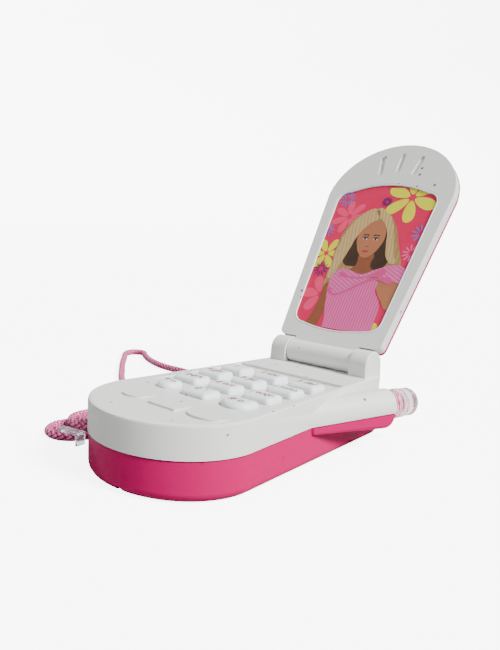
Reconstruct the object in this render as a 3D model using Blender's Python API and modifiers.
"""Toy flip phone with sprung keys, a folding lid, a clear antenna tip and a neck cord.

Metres, +Z up.  The origin is on the flat bottom face, straight below the hinge axis.
X runs across the phone, with the antenna on +X.  -Y points to the rounded end of the
base.  The lid stands open at rest, leaning back over +Y.
"""
import math

import bmesh
import bpy
from mathutils import Matrix, Vector

MM = 0.001

# ------------------------------------------------------------------ driving dimensions (mm)
BASE_TOP = 24.0            # height of the key face above the table
SEAM_BACK = 14.3           # parting line of the two base shells, at the hinge
SEAM_GAP = 0.4
SEAM_FALL = 0.0098         # how much the parting line drops for each mm towards the tip
BASE_BACK = 5.9            # Y of the back wall
BASE_SHOULDER = -80.1      # Y where the straight sides meet the rounded tip
BASE_TIP = 27.4            # length of the rounded tip
HALF_BACK = 24.8           # half width at the back wall
HALF_SHOULDER = 31.4       # half width at the shoulder
WALL = 1.8
TOP_PLATE = 2.1
RIM_ROUND = 1.0
BELLY_ROUND = 3.2
GAP = 0.3                  # clearance kept between touching pieces

HINGE_Z = 28.2             # height of the hinge axis
BARREL_R = 4.75
BARREL_HALF = 15.65
KNUCKLE_R = 5.65
KNUCKLE_FACE = 23.8        # X of the outer face of a knuckle
KNUCKLE_ROUND = 2.3
PIN_R = 1.5
PIN_BORE_R = PIN_R + 0.05

LID_OPEN = 122.6           # degrees from closed to open
LID_LEAN = LID_OPEN - 90.0
LID_FACE = 2.1             # front face, in front of the hinge axis plane
LID_THICK = 5.1
LID_SHELL = 0.85           # thickness of the pink outer cover
LID_START = 5.9            # bottom edge, measured from the axis
LID_SHOULDER = 78.4
LID_TIP = 28.0
LID_HALF_START = 24.9
LID_HALF_SHOULDER = 31.1

KEY_PITCH_X = 16.7
KEY_PITCH_Y = 12.0
KEY_FIRST_Y = -35.7        # centre of the row nearest the hinge
KEY_SHIFT_X = 1.5          # how far the middle column is off the centre line
KEY_SIZE = (12.0, 8.5)
KEY_CORNER = 1.6
STAR_NARROWER = 4.2        # the star key is narrower, rounder and set further in
STAR_CORNER = 3.0
STAR_SHIFT_X = 1.3
KEY_TOP = 25.85
# how far a cap draws in, and at what height, from its straight sides to its top
KEY_PILLOW = ((0.0, 24.3), (0.22, 24.9), (0.5, 25.3), (0.9, 25.6), (1.5, 25.78), (2.3, KEY_TOP))
KEY_CLEAR = 0.35           # gap between a key and its hole
KEY_FOOT = 20.5
RECESS_BACK = -22.4        # Y of the step behind the keys
RECESS_LENGTH = 54.6
RECESS_HALF = 25.2
RECESS_DEPTH = 1.15        # at the step; it fades to nothing towards the tip
PAD_Y = (-83.2, -92.0)     # flush back edge and raised front edge of the three pads
PAD_RISE = 0.75
PAD_SPANS = ((-16.8, -6.4), (-1.4, 10.9), (13.7, 27.2))

ANTENNA_BASE = (33.4, -5.8, 15.9)  # centre of the ring that the clear tip leaves
ANTENNA_SPLAY = 15.0               # degrees outwards from +Y
ANTENNA_RING_R = 6.2
ANTENNA_BORE_R = 4.2
ANTENNA_TIP_R = 5.6
ANTENNA_TIP_LENGTH = 14.5
ANTENNA_STEM_R = 3.9               # the part of the clear tip that sits in the ring
ANTENNA_CORE_R = 3.1               # hollow for the lamp
KEEL_FLOOR = 8.3                   # underside of the pod's lower half, at the ring
KEEL_LENGTH = 38.7                 # from the ring back to the kink in its outer side
KEEL_RISE = 2.4                    # how far the underside climbs by the kink

CELL_R = 7.1
CELL_LENGTH = 50.2
CELL_Z = 8.9
BAY_CENTRE_Y = -58.5
BAY_SIZE = (30.6, 57.6, 16.3)      # inside of the battery bay, up to its roof
BAY_WALL = 1.1
COVER_SIZE = (37.0, 64.0)
COVER_THICK = 1.5

CORD_R = 1.65
CORD_Z = CORD_R + 0.05             # middle of the cord where it lies on the table
CORD_EXITS = ((-24.9, -8.5), (-25.9, -21.5))
CORD_EXIT_Z = 5.2
# the free stretch: out of the side, round a long loop on the table, back to the hank
CORD_ROUTE = [
    (-22.5, -8.5, 5.2), (-29.0, -8.4, 4.9), (-35.0, -7.4, 3.0), (-42.0, -4.8, 1.7),
    (-55.0, 0.8, 1.7), (-70.0, 6.8, 1.7), (-86.0, 11.9, 1.7), (-98.0, 13.4, 1.7),
    (-109.0, 13.0, 1.7), (-119.3, 14.3, 1.7), (-132.0, 18.6, 1.7), (-142.4, 23.4, 1.7),
    (-149.2, 27.0, 1.7), (-153.4, 25.0, 1.7), (-151.6, 19.6, 1.7), (-143.6, 10.6, 1.7),
    (-131.4, -0.5, 1.7), (-118.0, -11.3, 1.7), (-105.5, -21.1, 1.7), (-93.0, -29.0, 1.7),
    (-82.0, -32.5, 1.7), (-71.0, -32.0, 1.7), (-63.0, -34.0, 1.7), (-59.0, -39.0, 1.7),
]
# the short stretch from the top of the hank back into the side
CORD_RETURN = [
    (-41.5, -31.5, 5.4), (-40.0, -28.0, 5.4), (-37.6, -25.2, 5.2), (-34.2, -23.0, 5.1),
    (-30.0, -21.9, 5.1), (-23.0, -21.5, 5.2),
]
HANK_TURN_HALF = 8.7               # middle of the outer turn, across the hank
HANK_LOW = ((-47.2, -66.2), 30.0, 77.0)     # centre, half length and angle of the lower turns
HANK_HIGH = ((-46.6, -61.5), 27.0, 86.0)    # the same for the turns that lie on them
CLIP_PLACE = (-43.9, -91.4, 0.0)   # the clear clip that straddles the end of the hank
CLIP_ANGLE = 8.0
CLIP_SIZE = (10.4, 3.8, 4.7)
CLIP_THICK = 0.9

CIRCLE = 32
TIP_STEPS = 72             # facets round a rounded tip

PHONE = bpy.data.collections.new("toy_cell_phone")
CUTTERS = bpy.data.collections.new("cutters")


# ------------------------------------------------------------------------------- helpers
def start_scene():
    """Empty the scene and add the two collections."""
    for old in list(bpy.data.objects):
        bpy.data.objects.remove(old, do_unlink=True)
    for group in (PHONE, CUTTERS):
        bpy.context.scene.collection.children.link(group)


def material(name, colour, roughness, metallic=0.0, transmission=0.0):
    """Return a Principled material."""
    made = bpy.data.materials.new(name)
    made.use_nodes = True
    shader = made.node_tree.nodes["Principled BSDF"]
    shader.inputs["Base Color"].default_value = (*colour, 1.0)
    shader.inputs["Roughness"].default_value = roughness
    shader.inputs["Metallic"].default_value = metallic
    shader.inputs["Transmission Weight"].default_value = transmission
    made.diffuse_color = (*colour, 1.0)
    return made


def outline(half_start, half_end, start, shoulder, tip, corner, inset=0.0, arc_steps=TIP_STEPS):
    """Plan of the phone: a tapering body with rounded start corners and a half-ellipse tip.

    start, shoulder and tip are distances along the body from the hinge.
    """
    points = []
    slope = (half_end - half_start) / (shoulder - start)
    radius = max(corner - inset, 0.5)
    side = half_start - inset
    low = start + inset
    for step in range(5):
        turn = math.radians(90.0 - 22.5 * step)
        across = side - radius + slope * radius + radius * math.cos(turn)
        points.append((across, low + radius - radius * math.sin(turn)))
    for step in range(arc_steps + 1):
        turn = math.pi * step / arc_steps
        across = (half_end - inset) * math.cos(turn)
        points.append((across, shoulder + (tip - inset) * math.sin(turn)))
    for across, along in reversed(points[:5]):
        points.append((-across, along))
    return points


def base_outline(inset=0.0):
    """Plan of the base, anticlockwise from above."""
    plan = outline(HALF_BACK, HALF_SHOULDER, -BASE_BACK, -BASE_SHOULDER, BASE_TIP, 3.5, inset)
    return [(across, -along) for across, along in plan]


def lid_outline(inset=0.0, start=LID_START):
    """Plan of the lid, in the lid's own frame."""
    return outline(LID_HALF_START, LID_HALF_SHOULDER, start, LID_SHOULDER, LID_TIP, 2.5, inset)


def window_outline(inset=0.0):
    """Recess for the picture: a shield with gently curved top and bottom edges."""
    corner = 5.6 - inset
    half_low, half_high = 21.4 - inset, 25.0 - inset
    low, high = 12.8 + inset, 80.6 - inset
    bow_low, bow_high = 1.9, 4.0
    centres = [
        (half_low - corner, low + corner, 270.0),
        (half_high - corner, high - corner, 0.0),
        (corner - half_high, high - corner, 90.0),
        (corner - half_low, low + corner, 180.0),
    ]
    points = []
    for number, (across, along, first) in enumerate(centres):
        for step in range(5):
            turn = math.radians(first + 22.5 * step)
            points.append((across + corner * math.cos(turn), along + corner * math.sin(turn)))
        if number in (1, 3):
            edge = high if number == 1 else low
            bow = bow_high if number == 1 else -bow_low
            half = half_high if number == 1 else half_low
            sign = 1 if number == 1 else -1
            for step in range(1, 8):
                across = sign * (half - corner) * (1.0 - step / 4.0)
                points.append((across, edge + bow * (1.0 - (across / (half - corner)) ** 2)))
    return points


def slot_outline(length, width, steps=6):
    """A straight slot with round ends, centred on the origin, along Y."""
    radius = width / 2.0
    reach = length / 2.0 - radius
    points = []
    for end, first in ((reach, 0.0), (-reach, 180.0)):
        for step in range(steps + 1):
            turn = math.radians(first + 180.0 * step / steps)
            points.append((radius * math.cos(turn), end + radius * math.sin(turn)))
    return points


def stack(levels):
    """A closed solid through plans that all have the same number of points: (plan, z), ..."""
    shape = bmesh.new()
    rings = [[shape.verts.new((x, y, z)) for x, y in plan] for plan, z in levels]
    for below, above in zip(rings, rings[1:]):
        for number in range(len(below)):
            after = (number + 1) % len(below)
            shape.faces.new((below[number], below[after], above[after], above[number]))
    shape.faces.new(list(reversed(rings[0])))
    shape.faces.new(rings[-1])
    bmesh.ops.recalc_face_normals(shape, faces=shape.faces)
    return shape


def prism(points, low, high, top_round=0.0, bottom_round=0.0, segments=2):
    """A closed solid with the plan 'points' from z = low to z = high, in mm."""
    shape = stack([(points, low), (points, high)])
    for size, level in ((top_round, high), (bottom_round, low)):
        if size > 0.0:
            rim = [edge for edge in shape.edges if all(v.co.z == level for v in edge.verts)]
            bmesh.ops.bevel(shape, geom=rim, offset=size, segments=segments,
                            profile=0.5, affect='EDGES', clamp_overlap=True)
    return shape


def block(size, centre, rounding=0.0, segments=2):
    """A box, with all its edges rounded when 'rounding' is given."""
    shape = bmesh.new()
    bmesh.ops.create_cube(shape, size=1.0)
    bmesh.ops.scale(shape, vec=size, verts=shape.verts)
    if rounding > 0.0:
        bmesh.ops.bevel(shape, geom=shape.edges, offset=rounding, segments=segments,
                        profile=0.5, affect='EDGES', clamp_overlap=True)
    bmesh.ops.translate(shape, vec=centre, verts=shape.verts)
    return shape


def rod(radius, length, centre=(0.0, 0.0, 0.0), axis='Z', sides=CIRCLE, end_radius=None):
    """A cylinder or cone frustum whose middle is at 'centre'."""
    shape = bmesh.new()
    far = radius if end_radius is None else end_radius
    bmesh.ops.create_cone(shape, cap_ends=True, segments=sides, radius1=radius,
                          radius2=far, depth=length)
    if axis == 'X':
        bmesh.ops.rotate(shape, matrix=Matrix.Rotation(math.pi / 2, 3, 'Y'), verts=shape.verts)
    if axis == 'Y':
        bmesh.ops.rotate(shape, matrix=Matrix.Rotation(-math.pi / 2, 3, 'X'), verts=shape.verts)
    bmesh.ops.translate(shape, vec=centre, verts=shape.verts)
    return shape


def make(name, shape, look, group=PHONE, parent=None, location=(0.0, 0.0, 0.0)):
    """Turn a bmesh in mm into an object in metres."""
    mesh = bpy.data.meshes.new(name)
    bmesh.ops.scale(shape, vec=(MM, MM, MM), verts=shape.verts)
    shape.to_mesh(mesh)
    shape.free()
    made = bpy.data.objects.new(name, mesh)
    group.objects.link(made)
    made.location = Vector(location) * MM
    if parent is not None:
        made.parent = parent
    if look is None:
        made.hide_render = True
        made.display_type = 'WIRE'
        return made
    mesh.materials.append(look)
    mesh.shade_smooth()
    mesh.set_sharp_from_angle(angle=math.radians(35.0))
    return made


def boolean(piece, shape, name, operation='DIFFERENCE', location=(0.0, 0.0, 0.0), parent=None):
    """Cut or join 'shape' to a piece with a live Boolean; the tool goes with the cutters."""
    tool = make(piece.name + "_" + name, shape, None, CUTTERS, parent, location)
    step = piece.modifiers.new(name, 'BOOLEAN')
    step.operation = operation
    step.solver = 'EXACT'
    step.object = tool
    return tool


def pivot(name, place, turn=(0.0, 0.0, 0.0)):
    """An empty that a moving group hangs from."""
    made = bpy.data.objects.new(name, None)
    PHONE.objects.link(made)
    made.location = Vector(place) * MM
    made.rotation_euler = turn
    return made


def turned(name, profile, look, parent=None, steps=24):
    """Turn a profile of (radius, z) pairs, top to bottom on the outside, about Z."""
    shape = bmesh.new()
    ring = [shape.verts.new((radius, 0.0, z)) for radius, z in profile]
    for first, second in zip(ring, ring[1:]):
        shape.edges.new((first, second))
    made = make(name, shape, look, PHONE, parent)
    spin = made.modifiers.new("turn", 'SCREW')
    spin.steps = steps
    spin.render_steps = steps
    spin.use_merge_vertices = True
    spin.merge_threshold = 0.00001
    spin.use_smooth_shade = True
    return made


def tube(name, points, radius, look, resolution=2, closed=False):
    """A round wire or cord along a list of points in mm."""
    curve = bpy.data.curves.new(name, 'CURVE')
    curve.dimensions = '3D'
    curve.bevel_depth = radius * MM
    curve.bevel_resolution = resolution
    curve.use_fill_caps = True
    line = curve.splines.new('POLY')
    line.points.add(len(points) - 1)
    line.use_cyclic_u = closed
    for slot, point in zip(line.points, points):
        slot.co = (*(Vector(point) * MM), 1.0)
    curve.materials.append(look)
    made = bpy.data.objects.new(name, curve)
    PHONE.objects.link(made)
    return made


def smooth_path(points, spacing):
    """Catmull-Rom curve through 'points', read off about every 'spacing' mm."""
    guides = [Vector(point) for point in points]
    guides = [2 * guides[0] - guides[1]] + guides + [2 * guides[-1] - guides[-2]]
    fine = []
    for a, b, c, d in zip(guides, guides[1:], guides[2:], guides[3:]):
        for step in range(24):
            t = step / 24.0
            fine.append(0.5 * (2 * b + (c - a) * t + (2 * a - 5 * b + 4 * c - d) * t * t
                               + (3 * b - a - 3 * c + d) * t ** 3))
    fine.append(guides[-2])
    lengths = [0.0]
    for first, second in zip(fine, fine[1:]):
        lengths.append(lengths[-1] + (second - first).length)
    count = max(int(round(lengths[-1] / spacing)), 2)
    path = []
    index = 0
    for number in range(count + 1):
        target = lengths[-1] * number / count
        while index < len(fine) - 2 and lengths[index + 1] < target:
            index += 1
        span = max(lengths[index + 1] - lengths[index], 1e-9)
        path.append(fine[index].lerp(fine[index + 1], (target - lengths[index]) / span))
    return path


start_scene()

WHITE = material("white_plastic", (0.76, 0.76, 0.74), 0.34)
KEY_WHITE = material("key_plastic", (0.82, 0.85, 0.86), 0.30)
PINK = material("pink_plastic", (0.78, 0.05, 0.20), 0.22)
CLEAR = material("clear_plastic", (0.95, 0.90, 0.93), 0.05, transmission=0.9)
CARD = material("picture_print", (0.75, 0.10, 0.20), 0.25)
BOARD = material("circuit_board", (0.45, 0.28, 0.10), 0.5)
RUBBER = material("grey_rubber", (0.35, 0.35, 0.36), 0.7)
EPOXY = material("black_epoxy", (0.02, 0.02, 0.02), 0.3)
STEEL = material("plated_steel", (0.62, 0.60, 0.57), 0.3, 1.0)
BLACK = material("black_plastic", (0.03, 0.03, 0.03), 0.4)
CELL = material("cell_sleeve", (0.10, 0.12, 0.30), 0.35)
CONE = material("speaker_cone", (0.05, 0.05, 0.06), 0.6)
LED = material("red_led", (0.85, 0.12, 0.15), 0.1)
CORD = material("pink_cord", (0.85, 0.20, 0.42), 0.5)
TIE = material("clear_tie", (0.85, 0.86, 0.88), 0.15)


# --------------------------------------------------------------------------- the antenna
def antenna_frame(scale=1.0):
    """The antenna's axis, with its ring at the origin.  'scale' is the unit of the place."""
    turn = Matrix.Rotation(-math.radians(ANTENNA_SPLAY), 4, 'Z')
    turn = turn @ Matrix.Rotation(-math.pi / 2, 4, 'X')
    return Matrix.Translation(Vector(ANTENNA_BASE) * scale) @ turn


def antenna_rod(radius, start, end):
    """A cylinder on the antenna's axis, from 'start' to 'end' mm out from the ring."""
    shape = rod(radius, end - start, (0, 0, (start + end) / 2))
    bmesh.ops.transform(shape, matrix=antenna_frame(), verts=shape.verts)
    return shape


def keel_outline(inset=0.0):
    """Plan of the pod's lower half: a wedge that leaves the side of the base."""
    half = ANTENNA_RING_R - inset
    splay = math.radians(ANTENNA_SPLAY)
    axis = Vector((math.sin(splay), math.cos(splay)))
    side = Vector((axis.y, -axis.x))
    ring = Vector(ANTENNA_BASE[:2]) - axis * inset
    outer = ring + side * half
    kink = outer - axis * KEEL_LENGTH
    inner_start = Vector((14.0, -40.0))
    outer_start = Vector((22.0, -49.5))
    return [tuple(ring - side * half), tuple(inner_start), tuple(outer_start), tuple(kink),
            tuple(outer)]


def sloped_keel(inset, floor, top):
    """A plain wedge whose underside climbs from the ring towards the kink."""
    shape = prism(keel_outline(inset), floor, top)
    for vertex in shape.verts:
        if vertex.co.z < top:
            vertex.co.z += KEEL_RISE * max(0.0, ANTENNA_BASE[1] - vertex.co.y) / KEEL_LENGTH
    return shape


def keel():
    """The pod's lower half, with its end rounded off below and its lower edges softened."""
    shape = sloped_keel(0.0, KEEL_FLOOR, BASE_TOP - 4.0)
    ends = (Vector((*keel_outline()[0], KEEL_FLOOR)), Vector((*keel_outline()[-1], KEEL_FLOOR)))
    end_edge = [edge for edge in shape.edges
                if all(min((v.co - end).length for end in ends) < 0.5 for v in edge.verts)]
    bmesh.ops.bevel(shape, geom=end_edge, offset=5.0, segments=4, profile=0.5,
                    affect='EDGES', clamp_overlap=True)
    sharp = [edge for edge in shape.edges
             if max(v.co.z for v in edge.verts) < KEEL_FLOOR + 5.1 and edge.calc_face_angle() > 0.8
             and abs(edge.verts[0].co.z - edge.verts[1].co.z) < 4.0]
    bmesh.ops.bevel(shape, geom=sharp, offset=1.5, segments=2, profile=0.5,
                    affect='EDGES', clamp_overlap=True)
    return shape


# ------------------------------------------------------------------------ the base shells
SCREW_PLACES = ((-17.5, -15.5), (17.5, -15.5), (-15.0, -96.5), (15.0, -96.5))
SCREW_HEAD_Z = 6.0
POST_SPLIT = 12.0


def key_plan(name, grow=0.0):
    """Plan of a key, or of the hole round it when 'grow' is more than 0."""
    width, depth = KEY_SIZE[0] + 2 * grow, KEY_SIZE[1] + 2 * grow
    corner = KEY_CORNER
    if name == "star":
        width -= STAR_NARROWER
        corner = STAR_CORNER
    corner = max(corner + grow, 0.4)
    points = []
    corners = ((1, -1, 270.0), (1, 1, 0.0), (-1, 1, 90.0), (-1, -1, 180.0))
    for right, front, first in corners:
        for step in range(4):
            turn = math.radians(first + 30.0 * step)
            across = right * (width / 2 - corner) + corner * math.cos(turn)
            points.append((across, front * (depth / 2 - corner) + corner * math.sin(turn)))
    if name == "hash":
        points = [(x, y) for x, y in points if y > 0.0]
        for step in range(9):
            turn = math.radians(200.0 + 17.5 * step)
            points.append((width / 2 * math.cos(turn), (depth / 2 + 0.6) * math.sin(turn)))
    return points


KEY_NAMES = ("1", "2", "3", "4", "5", "6", "7", "8", "9", "star", "0", "hash")


def key_place(number):
    """Centre of a key, counted along the rows from the hinge."""
    row, column = divmod(number, 3)
    across = KEY_SHIFT_X + (column - 1) * KEY_PITCH_X
    if KEY_NAMES[number] == "star":
        across += STAR_SHIFT_X
    return (across, KEY_FIRST_Y - row * KEY_PITCH_Y)


def shift(points, place):
    """Move a plan."""
    return [(x + place[0], y + place[1]) for x, y in points]


def knuckle(side):
    """One hinge knuckle: round on top and straight down into the base."""
    inner = BARREL_HALF + GAP
    rounded = 18
    profile = [(-KNUCKLE_R, 0.0), (KNUCKLE_R, 0.0)]
    for step in range(rounded + 1):
        turn = math.pi * step / rounded
        profile.append((KNUCKLE_R * math.cos(turn), HINGE_Z - BASE_TOP + 3.0
                        + KNUCKLE_R * math.sin(turn)))
    shape = prism(profile, inner, KNUCKLE_FACE)
    outer = [edge for edge in shape.edges
             if all(v.co.z > KNUCKLE_FACE - 0.01 and v.co.y > 2.0 for v in edge.verts)]
    bmesh.ops.bevel(shape, geom=outer, offset=KNUCKLE_ROUND, segments=3, profile=0.5,
                    affect='EDGES', clamp_overlap=True)
    # the profile's X, Y and length become the phone's Y, Z and X
    stand = Matrix(((0, 0, side, 0), (side, 0, 0, 0), (0, 1, 0, BASE_TOP - 3.0), (0, 0, 0, 1)))
    bmesh.ops.transform(shape, matrix=stand, verts=shape.verts)
    return shape


def pad(number):
    """One raised pad in front of the keys: flush at the back, raised at its front edge."""
    left, right = PAD_SPANS[number]
    back, front = PAD_Y
    if number == 1:
        plan = [(left, back), (left, front), (right, front), (right, back)]
    else:
        middle, half = (left + right) / 2, (right - left) / 2
        plan = [(left, back)]
        for step in range(11):
            turn = math.radians(180.0 + 18.0 * step)
            plan.append((middle + half * math.cos(turn),
                         front + 3.4 + 3.4 * math.sin(turn)))
        plan.append((right, back))
    shape = prism(plan, BASE_TOP - 1.0, BASE_TOP)
    for vertex in shape.verts:
        if vertex.co.z > BASE_TOP - 0.5:
            vertex.co.z += PAD_RISE * (back - vertex.co.y) / (back - front) - 0.04
    return shape


def parting_block(drop, side):
    """Everything above (side 1) or below (side -1) the parting line lowered by 'drop'."""
    middle = -50.0
    level = SEAM_BACK - drop - SEAM_FALL * (BASE_BACK - middle)
    shape = block((120.0, 180.0, 20.0), (0.0, middle, level + side * 10.0))
    bmesh.ops.rotate(shape, cent=(0.0, middle, level), verts=shape.verts,
                     matrix=Matrix.Rotation(math.atan(SEAM_FALL), 3, 'X'))
    return shape


def build_upper_shell():
    """White top shell with the key holes, the knuckles and the antenna pod."""
    shell = make("upper_shell", prism(base_outline(), 8.0, BASE_TOP, RIM_ROUND), WHITE)
    boolean(shell, antenna_rod(ANTENNA_RING_R, -55.0, 0.0), "pod", 'UNION')
    boolean(shell, knuckle(-1), "knuckle_left", 'UNION')
    boolean(shell, knuckle(1), "knuckle_right", 'UNION')
    for number in range(3):
        boolean(shell, pad(number), f"pad_{number}", 'UNION')
    # everything under the parting line goes, then the inside
    boolean(shell, parting_block(0.0, -1), "parting")
    boolean(shell, prism(base_outline(WALL), 5.0, BASE_TOP - TOP_PLATE), "inside")
    boolean(shell, antenna_rod(ANTENNA_RING_R - 1.5, -48.0, -1.6), "pod_inside")
    boolean(shell, antenna_rod(ANTENNA_BORE_R, -6.0, 3.0), "tip_hole")
    boolean(shell, rod(BARREL_R + 0.35, 2 * (BARREL_HALF + GAP), (0, 0, HINGE_Z), 'X'), "trough")
    boolean(shell, rod(PIN_BORE_R, 2 * 21.5, (0, 0, HINGE_Z), 'X', 20), "pin_bores")
    recess = block((2 * RECESS_HALF, RECESS_LENGTH, 6.0), (0, -RECESS_LENGTH / 2, 3.0), 0.5)
    bmesh.ops.rotate(recess, cent=(0, -RECESS_LENGTH, 0), verts=recess.verts,
                     matrix=Matrix.Rotation(-RECESS_DEPTH / RECESS_LENGTH, 3, 'X'))
    boolean(shell, recess, "key_recess", location=(0.0, RECESS_BACK, BASE_TOP - 0.03))
    for number, name in enumerate(KEY_NAMES):
        hole = prism(shift(key_plan(name, KEY_CLEAR), key_place(number)), 15.0, 30.0)
        boolean(shell, hole, "hole_" + name)
    for number, place in enumerate(SCREW_PLACES):
        post = rod(2.7, BASE_TOP - 1.0 - POST_SPLIT, (*place, (BASE_TOP - 1.0 + POST_SPLIT) / 2),
                   sides=20)
        boolean(shell, post, f"post_{number}", 'UNION')
        pilot = rod(1.2, 8.6, (*place, POST_SPLIT + 4.0), sides=12)
        boolean(shell, pilot, f"pilot_{number}")
    return shell


def build_lower_shell():
    """Pink bottom shell with the battery opening, the grille and the strap bar."""
    plan = base_outline(0.25)
    shell = make("lower_shell", prism(plan, 0.0, 20.0, 0.0, BELLY_ROUND, 4), PINK)
    boolean(shell, keel(), "keel", 'UNION')
    boolean(shell, parting_block(SEAM_GAP, 1), "parting")
    boolean(shell, prism(base_outline(WALL + 0.2), WALL, 25.0), "inside")
    boolean(shell, sloped_keel(2.2, KEEL_FLOOR + 2.4, 25.0), "keel_inside")
    boolean(shell, antenna_rod(ANTENNA_BORE_R, -6.0, 3.0), "tip_hole")
    opening = block((COVER_SIZE[0] - 4.0, COVER_SIZE[1] - 4.0, 12.0), (0, BAY_CENTRE_Y, 0))
    boolean(shell, opening, "battery_opening")
    rebate = block((COVER_SIZE[0] + 2 * GAP, COVER_SIZE[1] + 2 * GAP, 2.0),
                   (0, BAY_CENTRE_Y, COVER_THICK + 0.02 - 1.0))
    boolean(shell, rebate, "cover_rebate")
    for number in range(5):
        slot = prism(shift(slot_outline(11.0, 1.6), ((number - 2) * 3.6, -15.0)), -1.0, 4.0)
        boolean(shell, slot, f"grille_{number}")
    for number, place in enumerate(SCREW_PLACES):
        height = POST_SPLIT - GAP
        post = rod(3.6, height - 1.0, (*place, (height + 1.0) / 2), sides=24)
        boolean(shell, post, f"post_{number}", 'UNION')
        boolean(shell, rod(1.2, 30.0, (*place, 10.0), sides=16), f"shank_{number}")
        boolean(shell, rod(2.6, 2 * (SCREW_HEAD_Z + 2.4), (*place, 0.0), sides=20), f"sink_{number}")
    for number, (across, along) in enumerate(CORD_EXITS):
        hole = rod(CORD_R + GAP, 8.0, (across, along, CORD_EXIT_Z), 'X', 16)
        boolean(shell, hole, f"cord_hole_{number}")
    notch = rod(1.9, 8.0, (3.0, BASE_SHOULDER - BASE_TIP + 1.0, 0.0), 'Y', 16)
    boolean(shell, notch, "thumb_notch")
    return shell


def build_antenna():
    """Clear, ribbed tip over a red lamp."""
    place = pivot("antenna_axis", (0, 0, 0))
    place.matrix_world = antenna_frame(MM)
    outside = []
    dome = 8
    reach = ANTENNA_TIP_LENGTH
    for step in range(dome + 1):
        turn = math.radians(90.0 * step / dome)
        outside.append((ANTENNA_TIP_R * 0.96 * math.sin(turn),
                        reach - 3.4 + 3.4 * math.cos(turn)))
    for rib in range(4):
        level = 6.6 - 1.5 * rib
        outside += [(ANTENNA_TIP_R * 0.96, level + 0.5), (ANTENNA_TIP_R, level + 0.1),
                    (ANTENNA_TIP_R, level - 0.5), (ANTENNA_TIP_R * 0.93, level - 0.9)]
    core_end = reach - 6.8
    outside += [(ANTENNA_TIP_R * 0.93, GAP), (ANTENNA_STEM_R, GAP), (ANTENNA_STEM_R, -4.5),
                (ANTENNA_CORE_R, -4.5), (ANTENNA_CORE_R, core_end)]
    for step in range(1, 5):
        turn = math.radians(22.5 * step)
        outside.append((ANTENNA_CORE_R * math.cos(turn),
                        core_end + ANTENNA_CORE_R * math.sin(turn)))
    outside[0] = (0.0, reach)
    outside[-1] = (0.0, core_end + ANTENNA_CORE_R)
    turned("antenna_tip", outside, CLEAR, place)
    lamp = [(0.0, 6.6)]
    for step in range(1, 6):
        turn = math.radians(18.0 * step)
        lamp.append((2.5 * math.sin(turn), 4.1 + 2.5 * math.cos(turn)))
    lamp += [(2.5, -2.0), (2.8, -2.0), (2.8, -3.0), (0.0, -3.0)]
    turned("antenna_lamp", lamp, LED, place, 16)


# ------------------------------------------------------------------------------- the keys
def build_keys():
    """Twelve key caps, each with its origin on its own sliding axis."""
    for number, name in enumerate(KEY_NAMES):
        place = key_place(number)
        cap = stack([(key_plan(name), KEY_FOOT)]
                    + [(key_plan(name, -drawn_in), height) for drawn_in, height in KEY_PILLOW])
        key = make("key_" + name, cap, KEY_WHITE, location=(*place, 0.0))
        flange = prism(key_plan(name, 0.85), KEY_FOOT, KEY_FOOT + 0.9)
        boolean(key, flange, "flange", 'UNION', location=(*place, 0.0))


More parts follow.
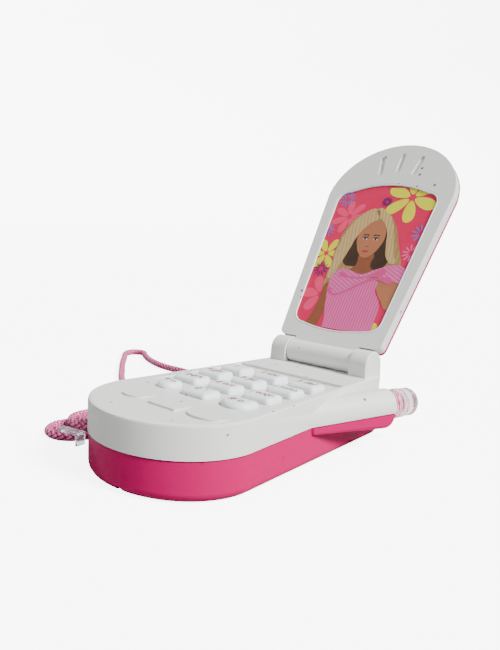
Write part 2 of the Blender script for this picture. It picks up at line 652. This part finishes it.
# ---------------------------------------------------------------------------- the inside
def build_inside():
    """Board, key mat, speaker, battery bay with its contacts and two cells."""
    board = block((46.0, 62.0, 1.0), (0.0, -53.5, 18.2))
    board = make("circuit_board", board, BOARD)
    boolean(board, rod(1.6, 4.0, (-20.0, -27.0, 18.2), sides=12), "hole_left")
    boolean(board, rod(1.6, 4.0, (20.0, -27.0, 18.2), sides=12), "hole_right")
    blob = rod(3.6, 0.8, (0.0, -26.5, 19.4), sides=20, end_radius=2.4)
    make("chip_blob", blob, EPOXY)
    make("key_mat", block((49.0, 47.5, 0.7), (0.0, -54.0, 19.35)), RUBBER)
    speaker = [(0.0, 4.6), (5.5, 4.6), (5.5, 3.2), (7.6, 2.6), (7.6, 2.1), (6.9, 2.1),
               (4.6, 3.0), (1.6, 3.5), (0.0, 3.2)]
    cone = turned("speaker", speaker, CONE, steps=24)
    cone.location = Vector((0.0, -15.0, 0.2)) * MM
    half_x, half_y, roof = BAY_SIZE[0] / 2, BAY_SIZE[1] / 2, BAY_SIZE[2]
    holder = make("battery_holder", block(
        (2 * (half_x + BAY_WALL), 2 * (half_y + BAY_WALL), roof + BAY_WALL - WALL - GAP),
        (0, BAY_CENTRE_Y, (roof + BAY_WALL + WALL + GAP) / 2)), WHITE)
    boolean(holder, block((2 * half_x, 2 * half_y, 30.0),
                          (0, BAY_CENTRE_Y, roof - 15.0)), "bay")
    boolean(holder, block((4.0, 10.0, 4.0), (0, BAY_CENTRE_Y, roof + 1.0)), "wire_slot")
    for side, label in ((-1, "left"), (1, "right")):
        across = side * (CELL_R + 0.35)
        near = BAY_CENTRE_Y + side * (half_y - 0.7 - GAP)
        cell_y = near - side * (1.5 + CELL_LENGTH / 2 + GAP)
        profile = [(0.0, CELL_LENGTH / 2), (2.7, CELL_LENGTH / 2), (2.7, CELL_LENGTH / 2 - 1.0),
                   (CELL_R - 0.4, CELL_LENGTH / 2 - 1.0), (CELL_R, CELL_LENGTH / 2 - 1.5),
                   (CELL_R, -CELL_LENGTH / 2 + 0.3), (CELL_R - 0.3, -CELL_LENGTH / 2),
                   (0.0, -CELL_LENGTH / 2)]
        cell = turned("battery_" + label, profile, CELL, steps=28)
        cell.location = Vector((across, cell_y, CELL_Z)) * MM
        cell.rotation_euler = (-side * math.pi / 2, 0.0, 0.0)
        make("contact_plate_" + label, block(
            (12.0, 0.4, 11.0), (across, near + side * 0.35, 8.6)), STEEL)
        far = BAY_CENTRE_Y - side * (half_y - GAP - 0.3)
        turns, count = 3.0, 10
        coil = []
        for step in range(int(turns * count) + 1):
            angle = 2 * math.pi * step / count
            radius = 4.6 - 2.2 * step / (turns * count)
            coil.append((across + radius * math.cos(angle), far + side * (0.4 + 0.095 * step),
                         CELL_Z + radius * math.sin(angle)))
        tube("contact_spring_" + label, coil, 0.35, STEEL, 1)


def build_screws():
    """Four case screws and the one that holds the battery cover."""
    for number, place in enumerate(SCREW_PLACES):
        profile = [(0.0, 13.4), (0.9, 12.4), (0.9, 2.1), (2.2, 1.6), (2.2, 0.3), (1.9, 0.0),
                   (0.0, 0.0)]
        screw = turned(f"case_screw_{number + 1}", profile, STEEL, steps=16)
        screw.location = Vector((*place, SCREW_HEAD_Z)) * MM


def build_battery_cover():
    """Pink cover that lifts off the bottom, with its finger ridges."""
    base = block((COVER_SIZE[0], COVER_SIZE[1], COVER_THICK), (0, 0, COVER_THICK / 2))
    cover = make("battery_cover", base, PINK, location=(0, BAY_CENTRE_Y, 0))
    for number in range(4):
        along = BAY_CENTRE_Y - COVER_SIZE[1] / 2 + 5.0 + 2.4 * number
        boolean(cover, block((14.0, 1.2, 1.0), (0, along, 0)), f"grip_{number}")
    return cover


def build_hinge_pins():
    """Two short pins between the lid's barrel and the base's knuckles."""
    for side, label in ((-1, "left"), (1, "right")):
        make("hinge_pin_" + label, rod(PIN_R, 11.0, (side * BARREL_HALF, 0, 0), 'X', 20),
             STEEL, location=(0, 0, HINGE_Z))


# ------------------------------------------------------------------------------ the cord
def hank_outline(layer, inset=0.0):
    """Plan of one layer of the hank: a slot with round ends, turned to its angle."""
    centre, half_length, angle = layer
    width = 2 * (HANK_TURN_HALF + CORD_R - inset)
    turn = math.radians(angle - 90.0)
    points = []
    for x, y in slot_outline(2 * (half_length - inset), width, 10):
        points.append((centre[0] + x * math.cos(turn) - y * math.sin(turn),
                       centre[1] + x * math.sin(turn) + y * math.cos(turn)))
    return points


def build_cord():
    """Neck cord: two free stretches, the tied hank between them and its clear clip."""
    spacing = 5.0 * CORD_R
    tube("cord_long_run", smooth_path(CORD_ROUTE, spacing), CORD_R, CORD)
    tube("cord_return", smooth_path(CORD_RETURN, spacing / 2), CORD_R, CORD)
    level = CORD_Z - CORD_R
    hank = make("cord_hank", prism(hank_outline(HANK_LOW), level, level + 2 * CORD_R + 0.2), CORD)
    upper = prism(hank_outline(HANK_HIGH), level + CORD_R, level + 4 * CORD_R + 0.4)
    boolean(hank, upper, "upper_turns", 'UNION')
    place = pivot("clip_place", CLIP_PLACE, (0, 0, math.radians(CLIP_ANGLE)))
    width, depth, height = CLIP_SIZE
    clip = make("cord_clip", block(CLIP_SIZE, (0, 0, height / 2 + 0.05)), TIE, parent=place)
    inside = block((width - 2 * CLIP_THICK, 2 * depth, 2 * (height - CLIP_THICK)), (0, 0, 0))
    boolean(clip, inside, "inside", parent=place)
    for side in (-1, 1):
        room = block((CLIP_THICK + 2 * GAP, depth + 2 * GAP, 4 * height),
                     (side * (width - CLIP_THICK) / 2, 0, 0))
        boolean(hank, room, f"leg_room_{side + 1}", parent=place)


# ------------------------------------------------------------------------------- the lid
def stand_up(shape):
    """Stand a flat shape up: its plan Y becomes Z, and its height points to -Y."""
    bmesh.ops.rotate(shape, cent=(0, 0, 0), matrix=Matrix.Rotation(math.pi / 2, 3, 'X'),
                     verts=shape.verts)
    return shape


def build_lid():
    """White inner cover with the barrel, pink outer cover and the picture card."""
    axis = pivot("lid_axis", (0, 0, HINGE_Z), (-math.radians(LID_LEAN), 0, 0))
    back = LID_FACE - LID_THICK
    split = back + LID_SHELL
    face = stand_up(prism(lid_outline(0.15), split + 0.15, LID_FACE, 0.7))
    inner = make("lid_inner_cover", face, WHITE, parent=axis)
    web = block((2 * BARREL_HALF, LID_FACE - split - 0.15, 8.0),
                (0, -(LID_FACE + split + 0.15) / 2, 4.0))
    boolean(inner, web, "web", 'UNION', parent=axis)
    barrel = rod(BARREL_R, 2 * BARREL_HALF, (0, 0, 0), 'X', 36)
    boolean(inner, barrel, "barrel", 'UNION', parent=axis)
    hollow = stand_up(prism(lid_outline(1.7, LID_START + 2.0), split - 1.0, 0.1))
    boolean(inner, hollow, "hollow", parent=axis)
    boolean(inner, stand_up(prism(window_outline(), LID_FACE - 1.0, 6.0)), "window", parent=axis)
    lip = stack([(window_outline(-0.05), LID_FACE - 0.6), (window_outline(-0.9), LID_FACE + 0.25)])
    boolean(inner, stand_up(lip), "window_lip", parent=axis)
    for number in (-1, 0, 1):
        lean = math.radians(12.0 * number)
        slot = prism(slot_outline(10.4, 2.2), LID_FACE - 0.8, 6.0)
        bmesh.ops.rotate(slot, cent=(0, 0, 0), matrix=Matrix.Rotation(-lean, 3, 'Z'),
                         verts=slot.verts)
        rise = 96.4 - 1.6 * abs(number)
        bmesh.ops.translate(slot, vec=(0.3 + 9.1 * number, rise, 0), verts=slot.verts)
        boolean(inner, stand_up(slot), f"slot_{number + 1}", parent=axis)
    for side, label in ((-1, "left"), (1, "right")):
        bore = rod(PIN_BORE_R, 16.0, (side * (BARREL_HALF + 2.0), 0, 0), 'X', 20)
        boolean(inner, bore, "bore_" + label, parent=axis)
    outer = stand_up(prism(lid_outline(0.0, LID_START - 0.15), back, split, 0.0, 0.5))
    make("lid_outer_cover", outer, PINK, parent=axis)
    card = stand_up(prism(window_outline(0.35), LID_FACE - 0.75, LID_FACE - 0.45))
    make("picture_card", card, CARD, parent=axis)


build_upper_shell()
build_lower_shell()
build_cord()
build_antenna()
build_keys()
build_inside()
build_screws()
build_battery_cover()
build_hinge_pins()
build_lid()
